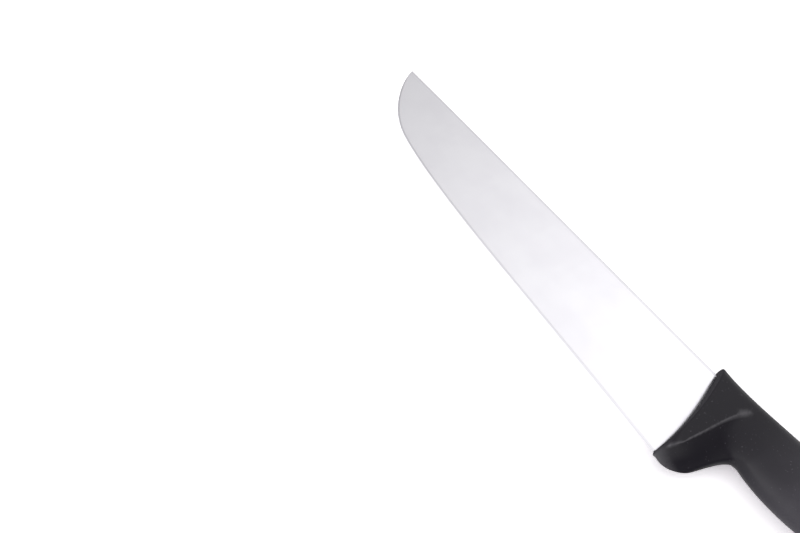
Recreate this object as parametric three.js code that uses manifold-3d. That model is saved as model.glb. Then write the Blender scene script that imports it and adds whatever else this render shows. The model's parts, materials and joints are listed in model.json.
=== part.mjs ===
// Butcher knife: a stamped and ground steel blade with a hidden tang, and a handle moulded round the tang.
// Millimetres. The knife is built flat: x runs from the front of the handle towards the point, y from the
// spine towards the cutting edge, and z across the blade, with the blade's middle plane at z = 0.
// At the end it is laid on its side, as it rests on a table, with +Z up.

import * as THREE from 'three';
import { mergeVertices } from 'three/addons/utils/BufferGeometryUtils.js';
import Module from 'manifold-3d';

const wasm = await Module();
wasm.setup();

// Blade outline
const BLADE_LENGTH = 230; // from the handle's front to the point, along the straight spine
const HEEL_DEPTH = 45.5; // spine to edge at x = 0
const EDGE_RISE = 0.0415; // how fast the straight run of the edge closes on the spine
const BARE_FLANK_X = 3; // the flank is clear of the handle from here on
const BELLY_START_X = 98.7; // the straight run ends here
const BELLY_CONTROLS = [[113.3, 40.8], [162.3, 38.7]];
const BELLY_END = [188.6, 32.9]; // from here the edge sweeps up to the point
const SWEEP_CONTROLS = [[212.2, 27.7], [227.3, 8.0]];

// Blade grind: each flank is a plane that thins towards the point and towards the edge
const SPINE_THICKNESS = 2.5; // beside the handle
const FLANK_THINS_ALONG = 0.00174; // per side and millimetre of length
const FLANK_THINS_ACROSS = 0.0175; // per side and millimetre below the spine
const POINT_GRIND_FROM = 150; // past here the point is ground thinner still
const POINT_GRIND = 0.00007; // per side and square millimetre of length
const EDGE_BEVEL = 1.0; // width of the sharpened bevel
const SPINE_CHAMFER = 0.3;

// Heel and tang, both inside the handle
const HEEL_CORNER_X = -7.5; // the edge ends here, at the guard
const HEEL_BACK = [[-10, 42], [-12.6, 33], [-13, 20]]; // curve of the hidden back of the heel
const HEEL_BACK_STEPS = 5;
const HEEL_FLAT = 0.1; // the hidden back of the heel is left blunt
const TANG_ROOT_X = -9;
const TANG_ROOT_TOP = 1;
const TANG_ROOT_BOTTOM = 18;
const TANG_LENGTH = 98;
const TANG_END_RADIUS = 6;
const TANG_END_Y = 8.5;
const TANG_HOLE_COUNT = 3;
const TANG_HOLE_RADIUS = 4;
const TANG_HOLE_FIRST_X = -36;
const TANG_HOLE_PITCH = 24;
const TANG_HOLE_Y = 9;

// Handle
const FRONT_X = -7.65; // the hollow front comes furthest back here
const FRONT_HOLLOW_Y = 43; // and this far below the spine
const FRONT_HOLLOW_RADIUS = 122;
const FRONT_EDGE_DEPTH = 0.9; // the rounding round the front is this long
const FRONT_EDGE_TRIM = { height: 1.4, width: 0.4 }; // and takes this much off the outline and each flank
const HOLLOW_FADES_FROM = -12; // the sections follow the hollow front up to here
const HOLLOW_FADES_TO = -36; // and are square to the grip from here on
const BUTT_START_X = -122; // the butt starts to round off
const BUTT_LENGTH = 11.5;
const BUTT_SQUARENESS = 2.8; // side outline of the butt: 2 is an ellipse, more is squarer
const BUTT_MIDDLE_Y = 14;
const GRIP_SQUARENESS = 2.25; // shoulder of the oval section above the crest line
const GRIP_FALL = 2.2; // the same for the flank below it
const NOTCH_X = -30; // the finger seat behind the guard; ahead of it the grip runs on inside the guard
const WALL_FILLET = 2.2; // how tightly the wall turns into the grip: more is tighter
const TIP_MARGIN = 0.8; // the ridge keeps this far above the lowest line
const GUARD_FULL_X = -26; // the guard has its full form ahead of here
const GUARD_GONE_X = -46; // and has faded into the grip from here on
const MOULD_GAP = 0.3; // clearance between the moulding and the steel

// Guide lines of the handle as [x, value], from the butt to the front
const TOP_LINE = [[-134, 0.6], [-122, -1], [-104, -3], [-80, -4.5], [-58, -4.6], [-37, -3.75], [-20, -2.3],
  [-12, -2.55], [-7, -3.3]];
const UNDERSIDE = [[-134, 26.6], [-122, 26], [-112, 24], [-98, 21.2], [-84, 20.4], [-68, 21.4], [-54, 23.7],
  [-43, 24.3], [-35, 23.7], [-30, 23.1], [-28, 24.5], [-26, 27.7], [-23.5, 33.8], [-21, 40.5], [-18, 44.1],
  [-14, 46.5], [-10.5, 46.7], [-7, 44.9]];
const GRIP_CREST = [[-134, 11], [-84, 5.5], [-50, 5.5], [-36, 5.5], [-26, 5], [-7, 5]];
const RIDGE_LINE = [[-22, 6], [-20.6, 8], [-17.8, 14.4], [-15.6, 21.4], [-13.8, 28], [-12.2, 34.3],
  [-10.8, 40], [-9.6, 43.2], [-8.2, 45], [-6, 47]]; // between the flat collar and the wall behind it
const TIP_ROUNDING = [[-30, 2.5], [-22, 2.8], [-16, 4.5], [-11, 7], [-7, 9.5]]; // at a section's lower end
const WALL_SLOPE = [[5, 0.55], [24, 0.65], [34, 0.85], [40, 1.4], [46, 2.3]]; // drop per millimetre, by depth
const HALF_THICKNESS = [[-134, 9.8], [-118, 9.8], [-100, 9.1], [-84, 8.8], [-66, 9.3], [-46, 9.8], [-32, 9.2],
  [-25, 8.8], [-7, 8.8]];
const TOP_ROUNDING = [[-134, 12], [-80, 10.5], [-50, 10], [-36, 9.3], [-26, 8], [-7, 8]];

// How finely the curved surfaces are divided
const BELLY_STEPS = 12;
const SWEEP_STEPS = 20;
const SWEEP_LAST = 0.985; // the point is blunted by this share of its curve
const CORNER_STEPS = 5;
const GUARD_STEPS = 36;
const GUARD_END_X = -34;
const GRIP_STEPS = 26;
const BUTT_STEPS = 10;
const BUTT_LAST = 0.995;
const TOP_STEPS = 9;
const COLLAR_STEPS = 8;
const FLANK_STEPS = 18;
const TANG_CURVE_STEPS = 20;
const TANG_HOLE_SIDES = 32;

const STEEL = new THREE.MeshStandardMaterial({ color: 0xdcdce0, metalness: 1, roughness: 0.25 });
const MOULDING = new THREE.MeshStandardMaterial({ color: 0x2c2b2f, metalness: 0, roughness: 0.6 });

// A smooth guide line through [x, value] pairs, as a function of x.
function guide(pairs) {
  const line = new THREE.CubicInterpolant(pairs.map(([x]) => x), pairs.map(([, value]) => value), 1);
  return (x) => line.evaluate(x)[0];
}

// A closed loft through half rings. A half ring runs from the top at z = 0 down one flank to the bottom at
// z = 0, the other flank is its mirror image, and each end is closed by ribs across from flank to flank.
// Each patch is split along its shorter diagonal.
function mirroredLoft(halfRings) {
  const steps = halfRings[0].length - 1;
  const around = 2 * steps;
  const positions = [];
  for (const half of halfRings) {
    const mirrored = half.slice(1, -1).reverse().map(([x, y, z]) => [x, y, -z]);
    positions.push(...[...half, ...mirrored].flat());
  }
  const faces = [];
  const corner = (index) => new THREE.Vector3().fromArray(positions, 3 * index);
  const apart = (a, b) => corner(a).distanceTo(corner(b));
  const quad = (a, b, c, d) => {
    const halves = apart(a, c) < apart(b, d) ? [a, b, c, a, c, d] : [b, c, d, b, d, a];
    faces.push(...halves);
  };
  for (let ring = 0; ring + 1 < halfRings.length; ring++) {
    for (let i = 0; i < around; i++) {
      const a = ring * around + i;
      const b = ring * around + ((i + 1) % around);
      quad(a, a + around, b + around, b);
    }
  }
  const close = (first, ahead) => {
    for (let i = 0; i < steps; i++) {
      const corners = [i, i + 1, around - i - 1, (around - i) % around].map((place) => first + place);
      const rib = [...new Set(corners)];
      if (ahead) rib.reverse();
      for (let k = 2; k < rib.length; k++) faces.push(rib[0], rib[k - 1], rib[k]);
    }
  };
  close(0, false);
  close((halfRings.length - 1) * around, true);
  const geometry = new THREE.BufferGeometry();
  geometry.setAttribute('position', new THREE.Float32BufferAttribute(positions, 3));
  geometry.setIndex(faces);
  return geometry;
}

// A closed geometry as a solid that can be joined and cut.
function solid(geometry) {
  const bare = geometry.clone();
  bare.deleteAttribute('normal');
  bare.deleteAttribute('uv');
  const merged = mergeVertices(bare);
  const mesh = new wasm.Mesh({
    numProp: 3,
    vertProperties: new Float32Array(merged.attributes.position.array),
    triVerts: new Uint32Array(merged.index.array),
  });
  return new wasm.Manifold(mesh);
}

// A solid as a named mesh of the model.
function named(name, body, material) {
  const { vertProperties, triVerts } = body.getMesh();
  const geometry = new THREE.BufferGeometry();
  geometry.setAttribute('position', new THREE.Float32BufferAttribute(vertProperties, 3));
  geometry.setIndex(Array.from(triVerts));
  geometry.computeVertexNormals();
  const mesh = new THREE.Mesh(geometry, material);
  mesh.name = name;
  return mesh;
}

// Half the blade's thickness at a place on its flank.
function bladeHalfThickness(x, y) {
  const along = FLANK_THINS_ALONG * Math.max(x, 0);
  const point = POINT_GRIND * Math.max(x - POINT_GRIND_FROM, 0) ** 2;
  return SPINE_THICKNESS / 2 - along - FLANK_THINS_ACROSS * y - point;
}

// Places along the lower outline of the blade, from the hidden back of the heel round to the point, each
// with the bevel's height there.
function bladeOutline() {
  const onStraight = (x) => new THREE.Vector2(x, HEEL_DEPTH - EDGE_RISE * x);
  const vector = ([x, y]) => new THREE.Vector2(x, y);
  const corner = onStraight(HEEL_CORNER_X);
  const bellyStart = onStraight(BELLY_START_X);
  const bellyEnd = vector(BELLY_END);
  const point = new THREE.Vector2(BLADE_LENGTH, 0);
  const heelBack = new THREE.CubicBezierCurve(corner, ...HEEL_BACK.map(vector));
  const belly = new THREE.CubicBezierCurve(bellyStart, ...BELLY_CONTROLS.map(vector), bellyEnd);
  const sweep = new THREE.CubicBezierCurve(bellyEnd, ...SWEEP_CONTROLS.map(vector), point);
  const places = [];
  for (let i = HEEL_BACK_STEPS; i > 0; i--) {
    places.push({ at: heelBack.getPoint(i / HEEL_BACK_STEPS), bevel: HEEL_FLAT });
  }
  places.push({ at: corner, bevel: EDGE_BEVEL });
  places.push({ at: onStraight(BARE_FLANK_X), bevel: EDGE_BEVEL });
  const follow = (curve, steps, first, last) => {
    for (let i = first; i <= steps; i++) {
      const share = (last * i) / steps;
      const tangent = curve.getTangent(share);
      places.push({ at: curve.getPoint(share), bevel: EDGE_BEVEL / tangent.x });
    }
  };
  follow(belly, BELLY_STEPS, 0, 1);
  follow(sweep, SWEEP_STEPS, 1, SWEEP_LAST);
  return places;
}

// The ground blade with its hidden heel, grown by a clearance on every side.
function groundBlade(grow) {
  const halfRings = bladeOutline().map(({ at: { x, y: depth }, bevel }) => {
    const chamfer = Math.min(SPINE_CHAMFER, depth / 4);
    const shoulder = depth - Math.min(bevel, depth / 2);
    return [
      [x, -grow, 0],
      [x, -grow, bladeHalfThickness(x, 0) - chamfer + grow],
      [x, chamfer - grow, bladeHalfThickness(x, chamfer) + grow],
      [x, shoulder + grow, bladeHalfThickness(x, shoulder) + grow],
      [x, depth + grow, 0],
    ];
  });
  return solid(mirroredLoft(halfRings));
}

// The flat tang with its row of holes, grown by a clearance on every side.
function tang(grow) {
  const endX = TANG_END_RADIUS - TANG_LENGTH;
  const endRadius = TANG_END_RADIUS + grow;
  const outline = new THREE.Shape();
  outline.moveTo(TANG_ROOT_X + grow, TANG_ROOT_TOP - grow);
  outline.lineTo(endX, TANG_END_Y - endRadius);
  outline.absarc(endX, TANG_END_Y, endRadius, -Math.PI / 2, Math.PI / 2, true);
  outline.lineTo(TANG_ROOT_X + grow, TANG_ROOT_BOTTOM + grow);
  const depth = SPINE_THICKNESS + 2 * grow;
  const settings = { depth, bevelEnabled: false, curveSegments: TANG_CURVE_STEPS };
  const plate = new THREE.ExtrudeGeometry(outline, settings);
  let pierced = solid(plate.translate(0, 0, -depth / 2));
  for (let i = 0; i < TANG_HOLE_COUNT; i++) {
    const radius = TANG_HOLE_RADIUS - grow;
    const punch = new THREE.CylinderGeometry(radius, radius, 2 * depth, TANG_HOLE_SIDES);
    punch.rotateX(Math.PI / 2);
    punch.translate(TANG_HOLE_FIRST_X - i * TANG_HOLE_PITCH, TANG_HOLE_Y, 0);
    pierced = pierced.subtract(solid(punch));
  }
  return pierced;
}

const steelWork = (grow) => groundBlade(grow).add(tang(grow));

const topLine = guide(TOP_LINE);
const underside = guide(UNDERSIDE);
const gripCrest = guide(GRIP_CREST);
const ridgeY = guide(RIDGE_LINE);
const ridgeX = guide(RIDGE_LINE.map(([x, y]) => [y, x]));
const tipRounding = guide(TIP_ROUNDING);
const wallSlope = guide(WALL_SLOPE);
const halfThickness = guide(HALF_THICKNESS);
const topRounding = guide(TOP_ROUNDING);

// How far the hollow front stands ahead of its deepest place at a height.
function frontHollow(y) {
  const above = Math.max(FRONT_HOLLOW_Y - y, 0);
  return FRONT_HOLLOW_RADIUS - Math.sqrt(FRONT_HOLLOW_RADIUS ** 2 - above ** 2);
}

// How fully a section has the guard's form: 1 at the guard and 0 along the grip.
const guardShare = (station) => THREE.MathUtils.smoothstep(station, GUARD_GONE_X, GUARD_FULL_X);

// Where the flat side ends in a section: at the ridge on the guard, and at the crest of the oval on the grip.
function sideEnd(station) {
  const lowest = underside(station) - TIP_MARGIN;
  return Math.min(Math.max(gripCrest(station), ridgeY(station)), lowest);
}

// How far a section has turned in towards its lower end: 0 above the rounding and 1 at its lowest place.
function tipTurn(station, y) {
  const reach = tipRounding(station) * guardShare(station);
  return reach > 0 ? THREE.MathUtils.clamp(1 - (underside(station) - y) / reach, 0, 1) : 0;
}

// How deep the flank lies below the flat side. Behind the ridge the wall slopes down to meet the oval grip.
function flankDepth(station, y, half) {
  const crest = gripCrest(station);
  const share = THREE.MathUtils.clamp((y - crest) / (underside(Math.min(station, NOTCH_X)) - crest), 0, 1);
  const grip = half * (1 - Math.sqrt(1 - share ** GRIP_FALL));
  const wall = wallSlope(y) * Math.max(ridgeX(y) - station, 0);
  if (grip === 0 || wall === 0) return 0;
  const meeting = (grip ** -WALL_FILLET + wall ** -WALL_FILLET) ** (-1 / WALL_FILLET);
  return THREE.MathUtils.lerp(grip, meeting, guardShare(station));
}

// Steps that get shorter towards the end.
const easedOut = (share) => 1 - (1 - share) ** 1.7;

// A half ring of the handle at a station: a rounded shoulder, a flat side, and the flank below it, which
// rounds off to the underside. trim takes a rounding off the section, and squeeze draws it together towards
// the butt.
function handleHalfRing(station, trim, squeeze) {
  const towardsMiddle = (y) => BUTT_MIDDLE_Y + (y - BUTT_MIDDLE_Y) * squeeze.height;
  const top = towardsMiddle(topLine(station)) + trim.height;
  const half = halfThickness(station);
  const sideEndY = sideEnd(station);
  const bottom = underside(station);
  const rounding = Math.min(topRounding(station) * squeeze.height, towardsMiddle(sideEndY) - top);
  const follows = THREE.MathUtils.smoothstep(station, HOLLOW_FADES_TO, HOLLOW_FADES_FROM);
  const narrowed = squeeze.width - trim.width / half;
  const place = (y, z) => [station + follows * frontHollow(y), y, z * narrowed];
  const placeBelow = (y, z) => {
    const turn = tipTurn(station, y);
    return place(towardsMiddle(y) - trim.height * turn, z * Math.sqrt(1 - turn ** 2));
  };
  const halfRing = [];
  for (let i = 0; i <= TOP_STEPS; i++) {
    const angle = (i / TOP_STEPS) * (Math.PI / 2);
    const up = Math.max(Math.cos(angle), 0) ** (2 / GRIP_SQUARENESS);
    halfRing.push(place(top + rounding * (1 - up), half * Math.sin(angle) ** (2 / GRIP_SQUARENESS)));
  }
  const sideStartY = BUTT_MIDDLE_Y + (top + rounding - BUTT_MIDDLE_Y) / squeeze.height;
  for (let i = 1; i <= COLLAR_STEPS; i++) {
    halfRing.push(placeBelow(THREE.MathUtils.lerp(sideStartY, sideEndY, easedOut(i / COLLAR_STEPS)), half));
  }
  for (let i = 1; i < FLANK_STEPS; i++) {
    const y = THREE.MathUtils.lerp(sideEndY, bottom, easedOut(i / FLANK_STEPS));
    halfRing.push(placeBelow(y, half - flankDepth(station, y, half)));
  }
  halfRing.push(placeBelow(bottom, 0));
  return halfRing;
}

// The moulded handle, from its rounded front edge along the guard and the grip to the rounded butt.
function handleForm() {
  const untrimmed = { height: 0, width: 0 };
  const full = { height: 1, width: 1 };
  const halfRings = [];
  for (let i = 0; i < CORNER_STEPS; i++) {
    const angle = (i / CORNER_STEPS) * (Math.PI / 2);
    const back = FRONT_EDGE_DEPTH * (1 - Math.cos(angle));
    const left = 1 - Math.sin(angle);
    const trim = { height: FRONT_EDGE_TRIM.height * left, width: FRONT_EDGE_TRIM.width * left };
    halfRings.push(handleHalfRing(FRONT_X - back, trim, full));
  }
  const run = (from, to, steps) => {
    for (let i = 0; i < steps; i++) {
      halfRings.push(handleHalfRing(THREE.MathUtils.lerp(from, to, i / steps), untrimmed, full));
    }
  };
  run(FRONT_X - FRONT_EDGE_DEPTH, GUARD_END_X, GUARD_STEPS);
  run(GUARD_END_X, BUTT_START_X, GRIP_STEPS);
  for (let i = 0; i <= BUTT_STEPS; i++) {
    const along = BUTT_LAST * Math.sin((i / BUTT_STEPS) * (Math.PI / 2));
    const height = (1 - along ** BUTT_SQUARENESS) ** (1 / BUTT_SQUARENESS);
    const width = Math.sqrt(1 - along ** 2);
    halfRings.push(handleHalfRing(BUTT_START_X - BUTT_LENGTH * along, untrimmed, { height, width }));
  }
  return solid(mirroredLoft(halfRings.reverse()));
}

// Turns and lifts the flat knife so that it lies on its side: on the point and on both ends of the collar.
function layDown(knife) {
  const contact = (y) => {
    const x = FRONT_X - FRONT_EDGE_DEPTH + frontHollow(y);
    return new THREE.Vector3(x, y, -halfThickness(FRONT_X));
  };
  const upper = contact(topLine(FRONT_X) + topRounding(FRONT_X));
  const lower = contact(underside(FRONT_X) - tipRounding(FRONT_X));
  const point = new THREE.Vector3(BLADE_LENGTH, 0, -bladeHalfThickness(BLADE_LENGTH, 0));
  const up = lower.sub(upper).cross(point.sub(upper)).normalize();
  up.multiplyScalar(Math.sign(up.z));
  knife.quaternion.setFromUnitVectors(up, new THREE.Vector3(0, 0, 1));
  const box = new THREE.Box3().setFromObject(knife, true);
  const middle = box.getCenter(new THREE.Vector3());
  knife.position.set(-middle.x, -middle.y, -box.min.z);
}

const knife = new THREE.Group();
knife.add(named('blade', steelWork(0), STEEL));
knife.add(named('handle', handleForm().subtract(steelWork(MOULD_GAP)), MOULDING));
layDown(knife);

export default knife;
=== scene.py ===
"""Looks of a butcher knife: a satin steel blade and a black moulded handle, on a white table.

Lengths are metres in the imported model's frame: x runs along the knife towards the point, y from the
spine towards the cutting edge, and z up from the table.
"""

import json
import logging
import math
from dataclasses import dataclass, replace
from enum import Enum, IntEnum

import bmesh
import bpy
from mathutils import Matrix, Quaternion, Vector
from mathutils.bvhtree import BVHTree
from mathutils.geometry import intersect_point_line
from mathutils.kdtree import KDTree


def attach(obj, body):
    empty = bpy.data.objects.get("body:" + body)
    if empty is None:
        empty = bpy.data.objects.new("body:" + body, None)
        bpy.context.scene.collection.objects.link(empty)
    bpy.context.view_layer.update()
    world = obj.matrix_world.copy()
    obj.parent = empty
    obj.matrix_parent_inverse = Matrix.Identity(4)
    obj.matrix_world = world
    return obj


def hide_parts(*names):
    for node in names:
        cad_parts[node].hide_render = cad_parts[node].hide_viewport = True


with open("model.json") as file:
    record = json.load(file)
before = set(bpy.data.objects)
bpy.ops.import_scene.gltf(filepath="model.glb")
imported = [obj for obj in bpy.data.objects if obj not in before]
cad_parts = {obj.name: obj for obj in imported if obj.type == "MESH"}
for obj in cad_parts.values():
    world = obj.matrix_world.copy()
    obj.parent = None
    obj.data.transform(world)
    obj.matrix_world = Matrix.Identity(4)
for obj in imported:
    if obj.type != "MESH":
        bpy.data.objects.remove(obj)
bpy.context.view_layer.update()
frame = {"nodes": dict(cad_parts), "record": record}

MILLIMETRE = 0.001
MERGE_DISTANCE = 0.001 * MILLIMETRE
NOISE_MIDDLE = 0.5

Pair = tuple[float, float]
Triple = tuple[float, float, float]
Colour = tuple[float, float, float, float]

log = logging.getLogger("butcher_knife")


class Node(Enum):
    """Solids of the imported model."""

    BLADE = "blade"
    HANDLE = "handle"


class Slot(Enum):
    """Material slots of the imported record."""

    STEEL = "steel"
    MOULDING = "moulding"


class Body(Enum):
    """Bodies that the pieces ride on."""

    ROOT = "root"


class BladeFace(IntEnum):
    """Kinds of face on the blade, numbered as their finishes are on the piece."""

    FLANK = 0
    BEVEL = 1
    SPINE = 2


class HandleFace(IntEnum):
    """Kinds of face on the handle, numbered as their finishes are on the piece."""

    GRIP = 0
    FRONT = 1


class Socket:
    """An output of a shader node. Arithmetic on it adds Math nodes."""

    def __init__(self, graph: "Graph", end: bpy.types.NodeSocket) -> None:
        """Keeps the graph and the output.

        Args:
            graph: The graph that the node stands in.
            end: The node's output.
        """
        self.graph = graph
        self.end = end

    def math(
        self, operation: str, first: "Socket | float", second: "Socket | float" = 0.0
    ) -> "Socket":
        """Adds a Math node.

        Args:
            operation: The node's operation.
            first: Its first value.
            second: Its second value.

        Returns:
            The node's output.
        """
        return self.graph.add("ShaderNodeMath", {"operation": operation}, {0: first, 1: second})

    def __add__(self, other: "Socket | float") -> "Socket":
        """This plus other."""
        return self.math("ADD", self, other)

    def __radd__(self, other: float) -> "Socket":
        """Other plus this."""
        return self.math("ADD", other, self)

    def __sub__(self, other: "Socket | float") -> "Socket":
        """This less other."""
        return self.math("SUBTRACT", self, other)

    def __rsub__(self, other: float) -> "Socket":
        """Other less this."""
        return self.math("SUBTRACT", other, self)

    def __mul__(self, other: "Socket | float") -> "Socket":
        """This times other."""
        return self.math("MULTIPLY", self, other)

    def __rmul__(self, other: float) -> "Socket":
        """Other times this."""
        return self.math("MULTIPLY", other, self)

    def exponential(self) -> "Socket":
        """The number e to the power of this."""
        return self.math("EXPONENT", self)


class Graph:
    """The node tree of one finish."""

    def __init__(self, owner: bpy.types.Material | bpy.types.World) -> None:
        """Empties the owner's node tree.

        Args:
            owner: The material or world that is given nodes.
        """
        owner.use_nodes = True
        self.tree = owner.node_tree
        self.tree.nodes.clear()

    def add(
        self,
        kind: str,
        settings: dict[str, object] | None = None,
        sockets: dict[str | int, object] | None = None,
        out: str | int = 0,
    ) -> Socket | None:
        """Adds one node.

        Args:
            kind: The node's type.
            settings: Its properties, which are set first.
            sockets: Values or links of its inputs, by name or number.
            out: The output to hand back.

        Returns:
            That output, or None from a node without outputs.
        """
        node = self.tree.nodes.new(kind)
        for name, value in (settings or {}).items():
            setattr(node, name, value)
        for name, value in (sockets or {}).items():
            if isinstance(value, Socket):
                self.tree.links.new(value.end, node.inputs[name])
            else:
                node.inputs[name].default_value = value
        return Socket(self, node.outputs[out]) if node.outputs else None

    def position(self, stretch: Triple = (1.0, 1.0, 1.0)) -> Socket:
        """Object coordinates.

        Args:
            stretch: Scale of each axis.

        Returns:
            The scaled coordinates.
        """
        place = self.add("ShaderNodeTexCoord", out="Object")
        return self.add("ShaderNodeMapping", sockets={"Vector": place, "Scale": stretch})

    def noise(self, stretch: Triple, detail: float = 2.0, roughness: float = 0.5) -> Socket:
        """Noise in object coordinates.

        Args:
            stretch: Scale of each axis, in grains per metre.
            detail: Octaves of finer noise.
            roughness: Strength of the finer octaves.

        Returns:
            The noise, from 0 to 1 about NOISE_MIDDLE.
        """
        sockets = {
            "Vector": self.position(stretch),
            "Scale": 1.0,
            "Detail": detail,
            "Roughness": roughness,
        }
        return self.add("ShaderNodeTexNoise", sockets=sockets)

    def ramp(self, value: Socket, span: Pair, ends: Pair = (0.0, 1.0)) -> Socket:
        """Eases a value from one range to another, held at the ends.

        Args:
            value: The value.
            span: Where the change starts and where it ends.
            ends: The results there.

        Returns:
            The eased value.
        """
        sockets = {"Value": value, 1: span[0], 2: span[1], 3: ends[0], 4: ends[1]}
        return self.add("ShaderNodeMapRange", {"interpolation_type": "SMOOTHSTEP"}, sockets)

    def mix_colour(
        self, factor: Socket, first: Colour | Socket, second: Colour | Socket
    ) -> Socket:
        """Mixes two colours.

        Args:
            factor: 0 for the first, 1 for the second.
            first: A colour.
            second: A colour.

        Returns:
            The mixed colour.
        """
        sockets = {0: factor, 6: first, 7: second}
        return self.add("ShaderNodeMix", {"data_type": "RGBA"}, sockets, out=2)

    def bump(self, height: Socket, strength: float, depth: float) -> Socket:
        """Relief that is too fine to model.

        Args:
            height: The relief, from 0 to 1.
            strength: How much of it shows.
            depth: Its depth.

        Returns:
            The bent normal.
        """
        sockets = {"Height": height, "Strength": strength, "Distance": depth}
        return self.add("ShaderNodeBump", sockets=sockets, out="Normal")

    def together(self, first: Socket, second: Socket) -> Socket:
        """Two shaders added together."""
        return self.add("ShaderNodeAddShader", sockets={0: first, 1: second})

    def choose(self, factor: Socket, first: Socket, second: Socket) -> Socket:
        """The first shader where the factor is 0, the second where it is 1."""
        return self.add("ShaderNodeMixShader", sockets={0: factor, 1: first, 2: second})

    def finish(self, shader: Socket, kind: str = "ShaderNodeOutputMaterial") -> None:
        """Ends the graph.

        Args:
            shader: The shader of the surface or background.
            kind: The type of the output node.
        """
        self.add(kind, sockets={"Surface": shader})


@dataclass(frozen=True)
class SteelFinish:
    """Stainless steel with fine grinding lines that run across the blade."""

    name: str
    colour: Colour
    stain: Colour  # where it is smudged
    roughness: float
    line_pitch: float
    line_depth: float
    line_length: float = 60.0  # in pitches
    line_relief: float = 0.12
    line_gloss: float = 0.08  # how far the lines sway the roughness
    smudge_scale: Triple = (45.0, 60.0, 60.0)  # smudges per metre
    smudge_span: Pair = (0.35, 0.75)
    smudge_most: float = 0.5
    smudge_gloss: float = 0.06
    band_scale: Triple = (220.0, 12.0, 12.0)  # bands of the grinding belt per metre
    band_share: float = 0.3

    def material(self) -> bpy.types.Material:
        """Makes the finish.

        Returns:
            The material.
        """
        made = bpy.data.materials.new(self.name)
        graph = Graph(made)
        fine, long = 1.0 / self.line_pitch, 1.0 / self.line_pitch / self.line_length
        lines = graph.noise((fine, long, long), detail=3.0, roughness=0.6)
        smudges = graph.noise(self.smudge_scale, detail=4.0)
        bands = graph.noise(self.band_scale, detail=2.0)
        smudged = graph.ramp(smudges, self.smudge_span, (0.0, self.smudge_most))
        shade = smudged + self.band_share * (bands - NOISE_MIDDLE)
        roughness = self.roughness + self.line_gloss * (lines - NOISE_MIDDLE)
        sockets = {
            "Base Color": graph.mix_colour(shade, self.colour, self.stain),
            "Metallic": 1.0,
            "Roughness": roughness + self.smudge_gloss * (smudges - NOISE_MIDDLE),
            "Normal": graph.bump(lines, self.line_relief, self.line_depth),
        }
        graph.finish(graph.add("ShaderNodeBsdfPrincipled", sockets=sockets))
        return made


@dataclass(frozen=True)
class MouldingFinish:
    """Matte black moulding with a fine slip-resistant grain, a painted sheen and painted highlights.
    """

    name: str
    colour: Colour
    sheen_and_specks: Colour  # painted sheen towards the grip's rear, and the colour of the specks
    painted_sheen_span: Pair  # along the knife: where the painted sheen is full, where it is gone
    painted_highlight: Colour  # painted highlight, where a layer of the mesh says so
    roughness: float
    specular: float
    grain_pitch: float
    grain_depth: float
    grain_relief: float = 0.2
    grain_gloss: float = 0.1  # how far the grain sways the roughness
    cloud_scale: float = 90.0  # clouds that vary the painted sheen and the roughness, per metre
    cloud_span: Pair = (0.3, 0.7)
    cloud_least: float = 0.75
    cloud_gloss: float = 0.08
    speck_scale: float = 1100.0  # per metre
    speck_span: Pair = (0.69, 0.77)
    speck_share: float = 0.4
    patch_scale: float = 700.0  # patches in the painted highlight per metre
    patch_span: Pair = (0.2, 0.6)
    patch_least: float = 0.6
    painted_highlight_layer: str = "painted_highlight"

    def material(self) -> bpy.types.Material:
        """Makes the finish.

        Returns:
            The material.
        """
        made = bpy.data.materials.new(self.name)
        graph = Graph(made)
        grain = graph.noise((1.0 / self.grain_pitch,) * 3, detail=3.0, roughness=0.6)
        clouds = graph.noise((self.cloud_scale,) * 3, detail=3.0)
        specks = graph.ramp(graph.noise((self.speck_scale,) * 3, detail=1.0), self.speck_span)
        along = graph.add("ShaderNodeSeparateXYZ", sockets={"Vector": graph.position()}, out="X")
        # The grip is painted lighter towards its rear: a painted sheen, varied by the clouds.
        painted_sheen = graph.ramp(along, self.painted_sheen_span, (1.0, 0.0))
        clouded = graph.ramp(clouds, self.cloud_span, (self.cloud_least, 1.0))
        shade = painted_sheen * clouded + self.speck_share * specks
        # Painted highlights where the mesh's layer says, on the ridges and the guard's tip, in
        # patches.
        highlight_mask = graph.add("ShaderNodeAttribute", {"attribute_name": self.painted_highlight_layer}, out="Fac")
        patches = graph.noise((self.patch_scale,) * 3)
        patchy_highlight = highlight_mask * graph.ramp(patches, self.patch_span, (self.patch_least, 1.0))
        used = graph.mix_colour(shade, self.colour, self.sheen_and_specks)
        roughness = self.roughness + self.grain_gloss * (grain - NOISE_MIDDLE)
        sockets = {
            "Base Color": graph.mix_colour(patchy_highlight, used, self.painted_highlight),
            "Roughness": roughness + self.cloud_gloss * (clouds - NOISE_MIDDLE),
            "Specular IOR Level": self.specular,
            "Normal": graph.bump(grain, self.grain_relief, self.grain_depth),
        }
        graph.finish(graph.add("ShaderNodeBsdfPrincipled", sockets=sockets))
        return made


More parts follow.
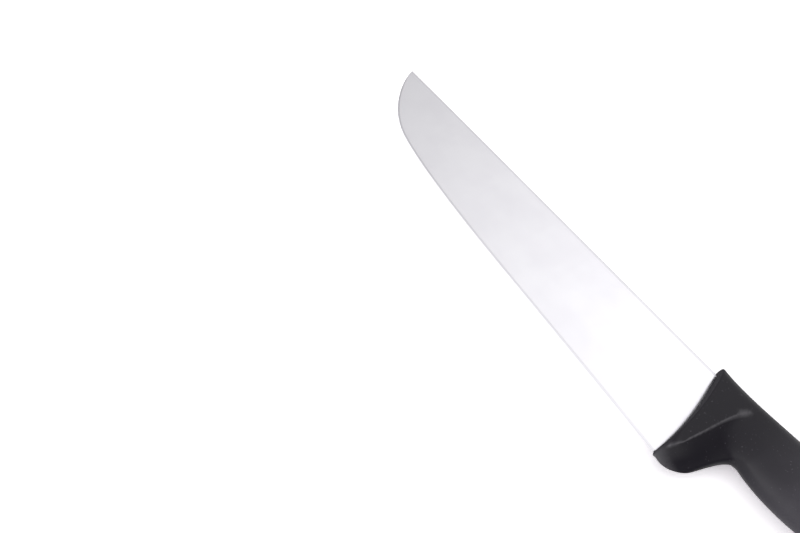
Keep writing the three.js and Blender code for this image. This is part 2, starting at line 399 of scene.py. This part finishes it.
@dataclass(frozen=True)
class TableFinish:
    """White table, exposed until only the knife's contact shadow shows on it."""

    name: str = "white_table"
    colour: Colour = (0.8, 0.8, 0.8, 1.0)
    glow_colour: Colour = (0.97, 0.82, 1.0, 1.0)
    glow: float = 0.15
    mirror_glow: float = 0.2

    def material(self) -> bpy.types.Material:
        """Makes the finish.

        Returns:
            The material.
        """
        made = bpy.data.materials.new(self.name)
        graph = Graph(made)
        plain = graph.add("ShaderNodeBsdfDiffuse", sockets={"Color": self.colour})
        sockets = {"Color": self.glow_colour, "Strength": self.glow}
        glow = graph.add("ShaderNodeEmission", sockets=sockets)
        # The camera sees the table twice as bright as it is lit, which washes faint shadows out.
        exposed = graph.together(graph.together(plain, plain), glow)
        mirror_glow = graph.add("ShaderNodeEmission", sockets={"Strength": self.mirror_glow})
        mirrored = graph.choose(looks_at(graph), plain, graph.together(plain, mirror_glow))
        camera = graph.add("ShaderNodeLightPath", out="Is Camera Ray")
        graph.finish(graph.choose(camera, mirrored, exposed))
        return made


def looks_at(graph: Graph) -> Socket:
    """Whether a ray comes from the camera, or from it by way of metal or glass.

    Args:
        graph: The graph that asks.

    Returns:
        1 for such a ray, else 0.
    """
    camera = graph.add("ShaderNodeLightPath", out="Is Camera Ray")
    mirrored = graph.add("ShaderNodeLightPath", out="Is Glossy Ray")
    through = graph.add("ShaderNodeLightPath", out="Is Transmission Ray")
    return camera.math("MAXIMUM", camera.math("MAXIMUM", camera, mirrored), through)


FLANK_STEEL = SteelFinish(
    name="satin_steel",
    colour=(0.805, 0.795, 0.83, 1.0),
    stain=(0.745, 0.73, 0.775, 1.0),
    roughness=0.16,
    line_pitch=0.12 * MILLIMETRE,
    line_depth=0.002 * MILLIMETRE,
)
EDGE_STEEL = SteelFinish(
    name="honed_steel",
    colour=(0.755, 0.743, 0.78, 1.0),
    stain=(0.67, 0.66, 0.695, 1.0),
    roughness=0.3,
    line_pitch=0.07 * MILLIMETRE,
    line_depth=0.003 * MILLIMETRE,
)
# The spine's own duller finish, and a strip of each flank along it painted darker as shade at the
# spine's edge.
SPINE_STEEL = SteelFinish(
    name="blanked_steel_with_painted_shade",
    colour=(0.57, 0.562, 0.59, 1.0),
    stain=(0.49, 0.482, 0.51, 1.0),
    roughness=0.45,
    line_pitch=0.15 * MILLIMETRE,
    line_depth=0.003 * MILLIMETRE,
)
BLACK_MOULDING = MouldingFinish(
    name="black_moulding",
    colour=(0.0056, 0.0041, 0.0088, 1.0),
    # A painted sheen towards the grip's rear, also the colour of the specks.
    sheen_and_specks=(0.088, 0.081, 0.098, 1.0),
    painted_sheen_span=(-128 * MILLIMETRE, -68 * MILLIMETRE),
    # Painted highlight on the ridges and on the guard's tip.
    painted_highlight=(0.085, 0.081, 0.091, 1.0),
    roughness=0.46,
    specular=0.33,
    grain_pitch=0.28 * MILLIMETRE,
    grain_depth=0.02 * MILLIMETRE,
)
# The front faces: a duller finish, and painted lighter in place of the sheen they would show.
FRONT_MOULDING = replace(
    BLACK_MOULDING,
    name="dull_moulding_with_painted_sheen",
    colour=(0.031, 0.029, 0.0345, 1.0),
    roughness=0.75,
    specular=0.1,
)
BLADE_FINISHES = {
    BladeFace.FLANK: FLANK_STEEL,
    BladeFace.BEVEL: EDGE_STEEL,
    BladeFace.SPINE: SPINE_STEEL,
}
HANDLE_FINISHES = {HandleFace.GRIP: BLACK_MOULDING, HandleFace.FRONT: FRONT_MOULDING}


@dataclass(frozen=True)
class Lobe:
    """A soft light, far off in one direction: azimuth from +X to +Y and elevation, in degrees."""

    azimuth: float
    elevation: float
    tightness: float
    strength: float

    def direction(self) -> Vector:
        """Where the light comes from.

        Returns:
            A unit vector.
        """
        turn, rise = math.radians(self.azimuth), math.radians(self.elevation)
        level = math.cos(rise)
        return Vector((math.cos(turn) * level, math.sin(turn) * level, math.sin(rise)))


EDGE_LIGHT = Lobe(azimuth=78.0, elevation=25.0, tightness=6.0, strength=3.0)
FLANK_LIGHT = Lobe(azimuth=-88.0, elevation=53.0, tightness=5.0, strength=1.29)
POINT_LIGHT = Lobe(azimuth=-22.0, elevation=36.0, tightness=10.0, strength=0.34)
POINT_FILL = Lobe(azimuth=20.0, elevation=50.0, tightness=5.0, strength=0.22)
TOP_LIGHT = Lobe(azimuth=60.0, elevation=85.0, tightness=12.0, strength=0.5)


@dataclass(frozen=True)
class KnifeAxes:
    """The knife's own directions, which its tilt on the table turns a little from the frame's."""

    along: Vector
    down: Vector
    across: Vector

    @classmethod
    def from_mounts(cls) -> "KnifeAxes":
        """Finds how the knife is tilted from the two flank mounts of the record.

        Returns:
            The axes: along to the point, down to the edge, across up from the table.
        """
        mounts = {mount["name"]: mount for mount in frame["record"]["mounts"]}
        upper, lower = mounts["blade_flank_up"], mounts["blade_flank_down"]
        across = (Vector(upper["axis"]) - Vector(lower["axis"])).normalized()
        along = (Vector((1.0, 0.0, 0.0)) - across * across.x).normalized()
        return cls(along, across.cross(along), across)


def merged_copy(node: Node) -> bmesh.types.BMesh:
    """A solid's mesh with its loose triangles joined.

    Args:
        node: The solid.

    Returns:
        A new bmesh.
    """
    mesh = bmesh.new()
    mesh.from_mesh(frame["nodes"][node.value].data)
    bmesh.ops.remove_doubles(mesh, verts=mesh.verts, dist=MERGE_DISTANCE)
    mesh.normal_update()
    return mesh


def place_piece(name: str, mesh: bmesh.types.BMesh, node: Node) -> bpy.types.Object:
    """Puts a finished mesh in the scene in place of a solid.

    Args:
        name: The piece's name.
        mesh: Its mesh, which is used up.
        node: The solid that it stands for.

    Returns:
        The piece.
    """
    data = bpy.data.meshes.new(name)
    mesh.to_mesh(data)
    mesh.free()
    piece = bpy.data.objects.new(name, data)
    bpy.context.scene.collection.objects.link(piece)
    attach(piece, Body.ROOT.value)
    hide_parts(node.value)
    log.info("%s: %d faces", name, len(data.polygons))
    return piece


@dataclass
class Blade:
    """The stamped and ground blade."""

    axes: KnifeAxes
    flank_lean: float = math.radians(6)  # a flank leans less than this from the middle plane
    spine_lean: float = 0.3  # a spine face's normal points away from the edge by more than this
    spine_rounding: float = 0.7 * MILLIMETRE
    spine_segments: int = 4
    # Width of the strip along the spine that is painted darker as shade.
    spine_shade_strip: float = 1.35 * MILLIMETRE
    sharp_angle: float = math.radians(14)
    order_slant: Triple = (1.0, 0.37, 0.71)  # a direction that finds no two corners level

    def build(self) -> bpy.types.Object:
        """Makes the blade.

        Returns:
            The dressed piece.
        """
        mesh = merged_copy(Node.BLADE)
        self._round_spine(mesh)
        strip_end = self._cut_strip(mesh)
        self._sort_faces(mesh, strip_end)
        self._settle_order(mesh)
        piece = place_piece("ground_blade", mesh, Node.BLADE)
        self._dress(piece)
        return piece

    def _dress(self, piece: bpy.types.Object) -> None:
        """Gives the blade its finishes, and smooth shading up to its sharp edges.

        Args:
            piece: The blade.
        """
        for face in BladeFace:
            piece.data.materials.append(BLADE_FINISHES[face].material())
        piece.data.shade_smooth()
        piece.data.set_sharp_from_angle(angle=self.sharp_angle)

    def _is_flat(self, face: bmesh.types.BMFace) -> bool:
        """Whether a face lies along the blade's flat sides."""
        return abs(face.normal.dot(self.axes.across)) > math.cos(self.flank_lean)

    def _round_spine(self, mesh: bmesh.types.BMesh) -> None:
        """Rounds the spine over into both flanks, as the polishing wheel leaves it.

        Args:
            mesh: The blade's mesh.
        """
        edges = []
        for edge in mesh.edges:
            faces = edge.link_faces
            upward = min(face.normal.dot(self.axes.down) for face in faces) < -self.spine_lean
            if upward and [self._is_flat(face) for face in faces].count(True) == 1:
                edges.append(edge)
        bmesh.ops.bevel(
            mesh,
            geom=edges,
            offset=self.spine_rounding,
            affect="EDGES",
            segments=self.spine_segments,
            profile=0.5,
            material=-1,
            clamp_overlap=True,
        )
        mesh.normal_update()

    def _cut_strip(self, mesh: bmesh.types.BMesh) -> float:
        """Cuts both flanks along the spine, for a strip that is painted darker as shade at the
        spine's edge.

        Args:
            mesh: The blade's mesh.

        Returns:
            How far down the strip ends.
        """
        spine = min(vert.co.dot(self.axes.down) for vert in mesh.verts)
        strip_end = spine + self.spine_shade_strip
        bmesh.ops.bisect_plane(
            mesh,
            geom=mesh.verts[:] + mesh.edges[:] + mesh.faces[:],
            dist=MERGE_DISTANCE,
            plane_co=self.axes.down * strip_end,
            plane_no=self.axes.down,
        )
        mesh.normal_update()
        return strip_end

    def _sort_faces(self, mesh: bmesh.types.BMesh, strip_end: float) -> None:
        """Numbers each face by its finish.

        Args:
            mesh: The blade's mesh.
            strip_end: How far down the spine's strip reaches.
        """
        for face in mesh.faces:
            depth = face.calc_center_median().dot(self.axes.down)
            if self._is_flat(face) and depth > strip_end:
                face.material_index = BladeFace.FLANK
            elif face.normal.dot(self.axes.down) > 0:
                face.material_index = BladeFace.BEVEL
            else:
                face.material_index = BladeFace.SPINE

    def _settle_order(self, mesh: bmesh.types.BMesh) -> None:
        """Orders the mesh by place, since the bevel leaves another order in each run.

        Args:
            mesh: The blade's mesh.
        """
        slant = Vector(self.order_slant)
        mesh.verts.sort(key=lambda vert: vert.co.dot(slant))
        mesh.edges.sort(key=lambda edge: (edge.verts[0].co + edge.verts[1].co).dot(slant))
        mesh.faces.sort(key=lambda face: face.calc_center_median().dot(slant))


@dataclass
class Handle:
    """The moulded handle."""

    axes: KnifeAxes
    seat_reach: float = 0.45 * MILLIMETRE  # the pocket's walls are nearer than this to the steel
    seat_gap: float = 0.02 * MILLIMETRE
    join_angle: float = math.radians(40)
    ridge_angle: float = math.radians(7)  # an edge of a ridge folds by more than this
    ridge_slope: float = 0.6  # and runs down more steeply than this
    ridge_length: float = 20 * MILLIMETRE  # and a ridge is longer than this
    wall_lean: float = 0.12  # the wall leans back from a ridge by more, the collar by less
    ridge_clear: float = 0.6 * MILLIMETRE
    collar_flatness: float = 0.99
    # Painted highlights: on the guard's tip, along each ridge, and in a trail and a streak from it.
    tip_highlight: float = 0.9
    tip_reach: float = 4.0 * MILLIMETRE
    ridge_highlight: float = 1.0
    trail_slope: float = 1.6  # upwards for each length backwards
    trail_length: float = 2.6 * MILLIMETRE
    trail_reach: float = 2.0 * MILLIMETRE
    corner_reach: float = 1.0 * MILLIMETRE
    front_lean: float = 0.5  # a front face's normal points to the blade by more than this
    crease_angle: float = math.radians(48)
    smooth_levels: int = 1

    def build(self) -> bpy.types.Object:
        """Makes the handle.

        Returns:
            The dressed piece.
        """
        mesh = merged_copy(Node.HANDLE)
        self._seat(mesh)
        bmesh.ops.join_triangles(
            mesh,
            faces=mesh.faces[:],
            angle_face_threshold=self.join_angle,
            angle_shape_threshold=math.pi,
        )
        mesh.normal_update()
        self._clear_ridges(mesh)
        self._paint_tip_highlight(mesh)
        self._paint_ridge_highlights(mesh)
        self._sort_faces(mesh)
        self._keep_corners(mesh)
        piece = place_piece("moulded_handle", mesh, Node.HANDLE)
        self._dress(piece)
        return piece

    def _dress(self, piece: bpy.types.Object) -> None:
        """Gives the handle its finishes and a smooth surface.

        Args:
            piece: The handle.
        """
        for face in HandleFace:
            piece.data.materials.append(HANDLE_FINISHES[face].material())
        piece.data.shade_smooth()
        smooth = piece.modifiers.new("smooth", "SUBSURF")
        smooth.levels = smooth.render_levels = self.smooth_levels

    def _depth(self, vert: bmesh.types.BMVert) -> float:
        """How far down towards the edge a corner of the mesh lies."""
        return vert.co.dot(self.axes.down)

    def _seat(self, mesh: bmesh.types.BMesh) -> None:
        """Closes the pocket up on the steel, as the moulding was shot round it.

        Args:
            mesh: The handle's mesh.
        """
        steel = merged_copy(Node.BLADE)
        near = BVHTree.FromBMesh(steel)
        for vert in mesh.verts:
            place, _, _, distance = near.find_nearest(vert.co, self.seat_reach)
            if place is not None and distance > self.seat_gap:
                vert.co = place + (vert.co - place) * (self.seat_gap / distance)
        steel.free()
        mesh.normal_update()

    def _clear_ridges(self, mesh: bmesh.types.BMesh) -> None:
        """Draws the collar's crowded corners into the ridges, so that smoothing rounds them evenly.

        Args:
            mesh: The handle's mesh.
        """
        ridge = [vert for run in self._ridges(mesh) for vert in self._corners(run)]
        tree = KDTree(len(ridge))
        for number, vert in enumerate(ridge):
            tree.insert(vert.co, number)
        tree.balance()
        onto = {}
        for vert in mesh.verts:
            _, number, distance = tree.find(vert.co)
            crowded = distance < self.ridge_clear and vert not in ridge
            if crowded and self._on_collar(vert):
                onto[vert] = ridge[number]
        bmesh.ops.weld_verts(mesh, targetmap=onto)
        mesh.normal_update()

    def _on_collar(self, vert: bmesh.types.BMVert) -> bool:
        """Whether all the faces round a corner lie flat, as the collar's do."""
        across = [abs(face.normal.dot(self.axes.across)) for face in vert.link_faces]
        return all(share > self.collar_flatness for share in across)

    def _paint_tip_highlight(self, mesh: bmesh.types.BMesh) -> None:
        """Paints a highlight on the guard's tip, and none on the rest of the handle.

        Args:
            mesh: The handle's mesh.
        """
        painted_highlight = mesh.verts.layers.float.new(BLACK_MOULDING.painted_highlight_layer)
        tip = max(self._depth(vert) for vert in mesh.verts)
        for vert in mesh.verts:
            share = 1.0 - (tip - self._depth(vert)) / self.tip_reach
            vert[painted_highlight] = max(0.0, self.tip_highlight * share)

    def _paint_ridge_highlights(self, mesh: bmesh.types.BMesh) -> None:
        """Paints a highlight along each ridge, with a trail above it and a streak down to the front
        corner.

        Args:
            mesh: The handle's mesh.
        """
        painted_highlight = mesh.verts.layers.float[BLACK_MOULDING.painted_highlight_layer]
        trail = -(self.axes.along + self.trail_slope * self.axes.down).normalized()
        for run in self._ridges(mesh):
            corners = sorted(self._corners(run), key=self._depth)
            for vert in corners:
                vert[painted_highlight] = self.ridge_highlight
            first, last = corners[0].co, corners[-1].co
            self._paint_highlight_streak(mesh, first, first + trail * self.trail_length, self.trail_reach)
            beside = [vert.co for vert in mesh.verts if self._is_beside(vert, last)]
            corner = max(beside, key=lambda place: place.dot(self.axes.along + self.axes.down))
            self._paint_highlight_streak(mesh, last, corner, self.corner_reach)

    def _is_beside(self, vert: bmesh.types.BMVert, place: Vector) -> bool:
        """Whether a corner of the mesh is on the same side of the handle as a place on a ridge."""
        return abs((vert.co - place).dot(self.axes.across)) < self.trail_reach

    def _paint_highlight_streak(
        self, mesh: bmesh.types.BMesh, start: Vector, end: Vector, reach: float
    ) -> None:
        """Paints a straight streak of highlight.

        Args:
            mesh: The handle's mesh.
            start: One end of the streak.
            end: Its other end.
            reach: How far from the streak the mark fades out.
        """
        painted_highlight = mesh.verts.layers.float[BLACK_MOULDING.painted_highlight_layer]
        for vert in mesh.verts:
            place, share = intersect_point_line(vert.co, start, end)
            nearest = start if share < 0 else end if share > 1 else place
            vert[painted_highlight] = max(vert[painted_highlight], 1.0 - (vert.co - nearest).length / reach)

    def _ridges(self, mesh: bmesh.types.BMesh) -> list[list[bmesh.types.BMEdge]]:
        """The edges of the long ridge on each side of the guard.

        Args:
            mesh: The handle's mesh.

        Returns:
            The edges of each ridge, without short runs elsewhere that fold alike.
        """
        left = [edge for edge in mesh.edges if self._on_ridge(edge)]
        ridges = []
        while left:
            run = [left.pop()]
            for edge in run:
                joined = [other for other in left if set(other.verts) & set(edge.verts)]
                run += joined
                left = [other for other in left if other not in joined]
            if sum(edge.calc_length() for edge in run) > self.ridge_length:
                ridges.append(run)
        return ridges

    def _on_ridge(self, edge: bmesh.types.BMEdge) -> bool:
        """Whether an edge folds from a face along the knife to one that leans back.

        Args:
            edge: An edge of the handle.

        Returns:
            True if it does.
        """
        leans = sorted(face.normal.dot(self.axes.along) for face in edge.link_faces)
        course = (edge.verts[1].co - edge.verts[0].co).normalized()
        runs_down = abs(course.dot(self.axes.down)) > self.ridge_slope
        folds = edge.calc_face_angle_signed() > self.ridge_angle
        leans_back = leans[0] < -self.wall_lean and abs(leans[-1]) < self.wall_lean
        return runs_down and folds and leans_back

    @staticmethod
    def _corners(run: list[bmesh.types.BMEdge]) -> list[bmesh.types.BMVert]:
        """The corners of a run of edges, in the mesh's order."""
        return sorted({vert for edge in run for vert in edge.verts}, key=lambda vert: vert.index)

    def _sort_faces(self, mesh: bmesh.types.BMesh) -> None:
        """Numbers each face by its finish: the front, which the mould leaves duller and which has a
        painted sheen, or the rest.

        Args:
            mesh: The handle's mesh.
        """
        for face in mesh.faces:
            is_front = face.normal.dot(self.axes.along) > self.front_lean
            face.material_index = HandleFace.FRONT if is_front else HandleFace.GRIP

    def _keep_corners(self, mesh: bmesh.types.BMesh) -> None:
        """Keeps the corners of the pocket sharp when the surface is smoothed.

        Args:
            mesh: The handle's mesh.
        """
        crease = mesh.edges.layers.float.new("crease_edge")
        for edge in mesh.edges:
            if edge.calc_face_angle(0.0) > self.crease_angle:
                edge[crease] = 1.0


@dataclass
class Studio:
    """The white table, the soft light over it and the camera."""

    table_size: float = 6.0
    lobes: tuple[Lobe, ...] = (EDGE_LIGHT, FLANK_LIGHT, POINT_LIGHT, POINT_FILL, TOP_LIGHT)
    light_colour: Colour = (1.0, 1.0, 1.0, 1.0)
    white_span: Pair = (0.2, 0.4)  # heights between which the white backdrop ends
    camera_place: Vector = Vector((-0.04431, 0.14525, 0.24841))
    camera_aim: Vector = Vector((0.0736, 0.05909, 0.0))
    camera_roll: float = math.radians(3.026)
    clip_start: float = 0.01
    lens: float = 27.0
    sensor: float = 36.0

    def build(self) -> None:
        """Makes everything round the knife."""
        self._table()
        self._dome()
        self._camera()
        bpy.context.scene.view_settings.view_transform = "Standard"

    def _table(self) -> None:
        """Makes the table top."""
        mesh = bmesh.new()
        bmesh.ops.create_grid(mesh, x_segments=1, y_segments=1, size=self.table_size / 2)
        data = bpy.data.meshes.new("table")
        mesh.to_mesh(data)
        mesh.free()
        data.materials.append(TableFinish().material())
        table = bpy.data.objects.new("table", data)
        bpy.context.scene.collection.objects.link(table)

    def _dome(self) -> None:
        """Makes the soft light from all round, with a white backdrop along the horizon."""
        world = bpy.data.worlds.new("studio")
        bpy.context.scene.world = world
        graph = Graph(world)
        direction = graph.add("ShaderNodeTexCoord", out="Generated")
        height = graph.add("ShaderNodeSeparateXYZ", sockets={"Vector": direction}, out="Z")
        dot = {"operation": "DOT_PRODUCT"}
        level = 0.0
        for lobe in self.lobes:
            sockets = {0: direction, 1: lobe.direction()}
            towards = graph.add("ShaderNodeVectorMath", dot, sockets, out="Value")
            level = lobe.strength * (lobe.tightness * (towards - 1.0)).exponential() + level
        backdrop = looks_at(graph) * graph.ramp(height, self.white_span, (1.0, 0.0))
        strength = level * (1.0 - backdrop) + backdrop
        sockets = {"Color": self.light_colour, "Strength": strength}
        graph.finish(graph.add("ShaderNodeBackground", sockets=sockets), "ShaderNodeOutputWorld")

    def _camera(self) -> None:
        """Makes the camera at the photograph's viewpoint."""
        data = bpy.data.cameras.new("camera")
        data.lens = self.lens
        data.sensor_width = self.sensor
        data.clip_start = self.clip_start
        camera = bpy.data.objects.new("camera", data)
        camera.location = self.camera_place
        camera.rotation_mode = "QUATERNION"
        look = self.camera_aim - self.camera_place
        roll = Quaternion((0.0, 0.0, 1.0), self.camera_roll)
        camera.rotation_quaternion = look.to_track_quat("-Z", "Y") @ roll
        bpy.context.scene.collection.objects.link(camera)
        bpy.context.scene.camera = camera


def main() -> None:
    """Builds the studio and dresses the knife."""
    logging.basicConfig(level=logging.INFO, format="%(name)s %(message)s")
    Studio().build()
    axes = KnifeAxes.from_mounts()
    Blade(axes).build()
    Handle(axes).build()


if __name__ == "__main__":
    main()
